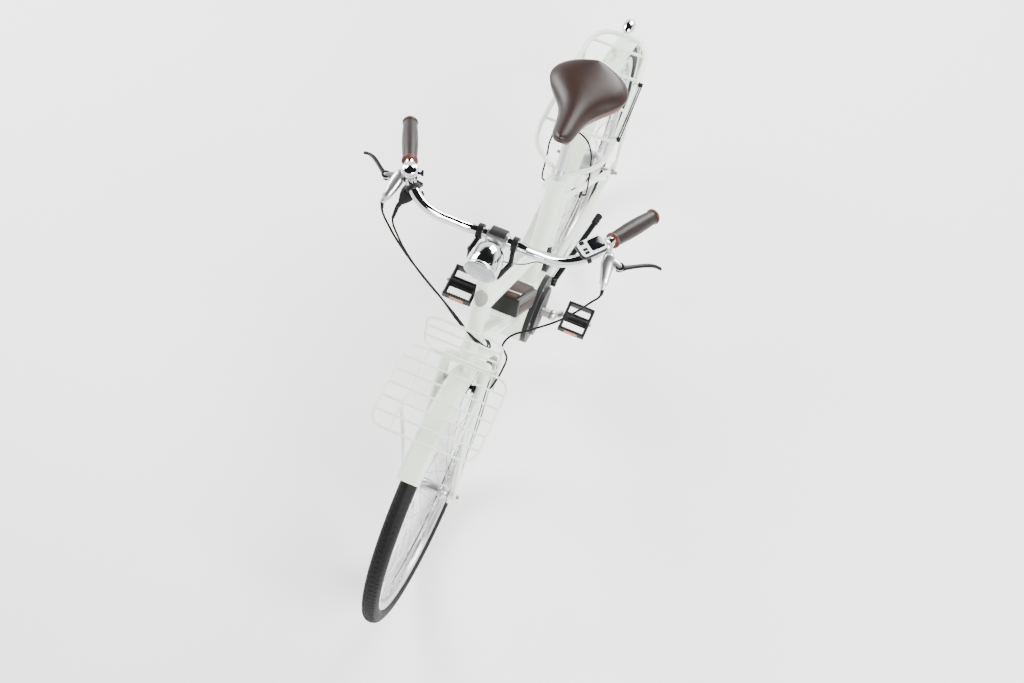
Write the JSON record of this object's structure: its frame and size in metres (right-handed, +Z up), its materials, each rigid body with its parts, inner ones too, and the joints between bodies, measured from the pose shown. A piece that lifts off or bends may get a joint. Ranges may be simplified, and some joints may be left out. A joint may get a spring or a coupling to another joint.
{
  "type": "electric bicycle",
  "caption": "Step-through city bicycle with a mid motor, a battery on the down tube, a wire carrier in front and a tube rack behind.",
  "frame": {"origin": "on the ground under the middle of the bicycle's length, in its centre plane", "axes": "+X forward along the bicycle, +Y to the rider's left, +Z up"},
  "size_m": [1.794, 0.659, 1.1319],
  "materials": {
    "frame_paint": "glossy pale mint cream enamel",
    "guard_paint": "glossy pale mint cream coating",
    "dark_plastic": "satin dark grey moulded housing",
    "black_plastic": "satin black",
    "black_alloy": "black anodised",
    "silver_alloy": "satin",
    "chrome": "polished",
    "zinc_steel": "plated",
    "hose_black": "smooth black jacket",
    "pad_rubber": "matte",
    "tyre_rubber": "matte with tread",
    "brown_leather": "dark brown imitation leather",
    "clear_lens": "clear"
  },
  "bodies": {
    "frame": {"head_tube": "frame_paint", "top_tube": "frame_paint", "down_tube": "frame_paint", "seat_tube": "frame_paint", "motor_bracket": "frame_paint", "chain_stays": "frame_paint", "seat_stays": "frame_paint", "motor_unit": "dark_plastic", "seat_clamp": "silver_alloy", "rear_mudguard": "guard_paint", "rear_rack": "frame_paint", "luggage_strap": "black_plastic", "tail_light": "chrome", "rear_axle": "zinc_steel", "rear_brake_cylinders": "dark_plastic", "rear_brake_hose": "hose_black", "frame_cables": "hose_black", "chain_guard": "frame_paint", "chain": "zinc_steel"},
    "battery": {"battery": "dark_plastic"},
    "kickstand": {"kickstand": "black_plastic"},
    "steering": {"fork": "frame_paint", "stem": "silver_alloy", "handlebar": "chrome", "grips": "brown_leather", "brake_bodies": "silver_alloy", "shifter_body": "black_plastic", "bell": "chrome", "display": "black_plastic", "headlight_shell": "chrome", "headlight_lens": "clear_lens", "headlight_bracket": "black_plastic", "front_mudguard": "guard_paint", "front_carrier": "guard_paint", "front_brake_cylinders": "dark_plastic", "front_axle": "zinc_steel", "front_brake_hose": "hose_black", "control_cables": "hose_black"},
    "front_wheel": {"front_tyre": "tyre_rubber", "front_rim": "silver_alloy", "front_hub": "silver_alloy"},
    "rear_wheel": {"rear_tyre": "tyre_rubber", "rear_rim": "silver_alloy", "rear_hub": "silver_alloy"},
    "rear_cog": {"rear_cog": "zinc_steel"},
    "crankset": {"crankset": "silver_alloy"},
    "pedal_left": {"pedal_left": "black_plastic"},
    "pedal_right": {"pedal_right": "black_plastic"},
    "lever_left": {"brake_lever_left": "black_alloy"},
    "lever_right": {"brake_lever_right": "black_alloy"},
    "shift_lever": {"shift_lever": "black_plastic"},
    "release_trigger": {"release_trigger": "black_plastic"},
    "bell_striker": {"bell_striker": "black_plastic"},
    "display_button": {"display_button": "black_plastic"},
    "front_pad_left": {"front_pad_left": "pad_rubber"},
    "front_pad_right": {"front_pad_right": "pad_rubber"},
    "rear_pad_left": {"rear_pad_left": "pad_rubber"},
    "rear_pad_right": {"rear_pad_right": "pad_rubber"},
    "seatpost": {"seatpost": "silver_alloy", "saddle": "brown_leather"}
  },
  "joints": [
    {"name": "steering", "type": "hinge", "parent": "frame", "child": "steering", "pos_m": [0.50032, 0, 0.33208], "axis": [-0.3584, 0, 0.9336], "range_deg": [-45, 45]},
    {"name": "front_wheel_spin", "type": "hinge", "parent": "steering", "child": "front_wheel", "pos_m": [0.547, 0, 0.35], "axis": [0, 1, 0], "continuous": true},
    {"name": "rear_wheel_spin", "type": "hinge", "parent": "frame", "child": "rear_wheel", "pos_m": [-0.523, 0, 0.35], "axis": [0, 1, 0], "continuous": true},
    {"name": "crank_spin", "type": "hinge", "parent": "frame", "child": "crankset", "pos_m": [-0.053, 0, 0.285], "axis": [0, 1, 0], "continuous": true},
    {"name": "cog_spin", "type": "hinge", "parent": "frame", "child": "rear_cog", "pos_m": [-0.523, 0, 0.35], "axis": [0, 1, 0], "continuous": true},
    {"name": "pedal_left_spin", "type": "hinge", "parent": "crankset", "child": "pedal_left", "pos_m": [-0.14559, 0.141, 0.14243], "axis": [0, 1, 0], "continuous": true},
    {"name": "pedal_right_spin", "type": "hinge", "parent": "crankset", "child": "pedal_right", "pos_m": [0.03959, -0.141, 0.42757], "axis": [0, 1, 0], "continuous": true},
    {"name": "lever_left_pull", "type": "hinge", "parent": "steering", "child": "lever_left", "pos_m": [0.223, 0.252, 1.073], "axis": [0, 0, 1], "range_deg": [0, 18], "stiffness_Nm_per_rad": 2, "springref_deg": -5.73},
    {"name": "lever_right_pull", "type": "hinge", "parent": "steering", "child": "lever_right", "pos_m": [0.223, -0.252, 1.073], "axis": [0, 0, -1], "range_deg": [0, 18], "stiffness_Nm_per_rad": 2, "springref_deg": -5.73},
    {"name": "front_pad_left_press", "type": "slide", "parent": "steering", "child": "front_pad_left", "axis": [0, -1, 0], "range_m": [0, 0.0024]},
    {"name": "front_pad_right_press", "type": "slide", "parent": "steering", "child": "front_pad_right", "axis": [0, 1, 0], "range_m": [0, 0.0024]},
    {"name": "rear_pad_left_press", "type": "slide", "parent": "frame", "child": "rear_pad_left", "axis": [0, -1, 0], "range_m": [0, 0.0024]},
    {"name": "rear_pad_right_press", "type": "slide", "parent": "frame", "child": "rear_pad_right", "axis": [0, 1, 0], "range_m": [0, 0.0024]},
    {"name": "thumb_shift", "type": "hinge", "parent": "steering", "child": "shift_lever", "pos_m": [0.231, -0.194, 1.056], "axis": [0, 0, 1], "range_deg": [0, 28], "stiffness_Nm_per_rad": 0.1, "springref_deg": -11.46},
    {"name": "release_pull", "type": "hinge", "parent": "steering", "child": "release_trigger", "pos_m": [0.231, -0.194, 1.051], "axis": [0, 0, 1], "range_deg": [0, 15], "stiffness_Nm_per_rad": 0.1, "springref_deg": -11.46},
    {"name": "bell_ring", "type": "hinge", "parent": "steering", "child": "bell_striker", "pos_m": [0.217, -0.201, 1.112], "axis": [0, 0, 1], "range_deg": [0, 20], "stiffness_Nm_per_rad": 0.05, "springref_deg": -11.46},
    {"name": "display_press", "type": "slide", "parent": "steering", "child": "display_button", "axis": [0, 0, -1], "range_m": [0, 0.0015], "stiffness_N_per_m": 300, "springref_m": -0.001},
    {"name": "seatpost_slide", "type": "slide", "parent": "frame", "child": "seatpost", "axis": [-0.3502, 0, 0.9367], "range_m": [-0.06, 0.08]},
    {"name": "battery_slide", "type": "slide", "parent": "frame", "child": "battery", "axis": [0.618, 0, 0.7861], "range_m": [0, 0.05]},
    {"name": "kickstand_swing", "type": "hinge", "parent": "frame", "child": "kickstand", "pos_m": [-0.165, 0.044, 0.262], "axis": [0, -1, 0], "range_deg": [0, 95]}
  ],
  "couplings": [
    {"joint": "cog_spin", "follows": "crank_spin", "ratio": 2},
    {"joint": "front_pad_left_press", "follows": "lever_left_pull", "m_per_rad": 0.0075},
    {"joint": "front_pad_right_press", "follows": "lever_left_pull", "m_per_rad": 0.0075},
    {"joint": "rear_pad_left_press", "follows": "lever_right_pull", "m_per_rad": 0.0075},
    {"joint": "rear_pad_right_press", "follows": "lever_right_pull", "m_per_rad": 0.0075}
  ]
}
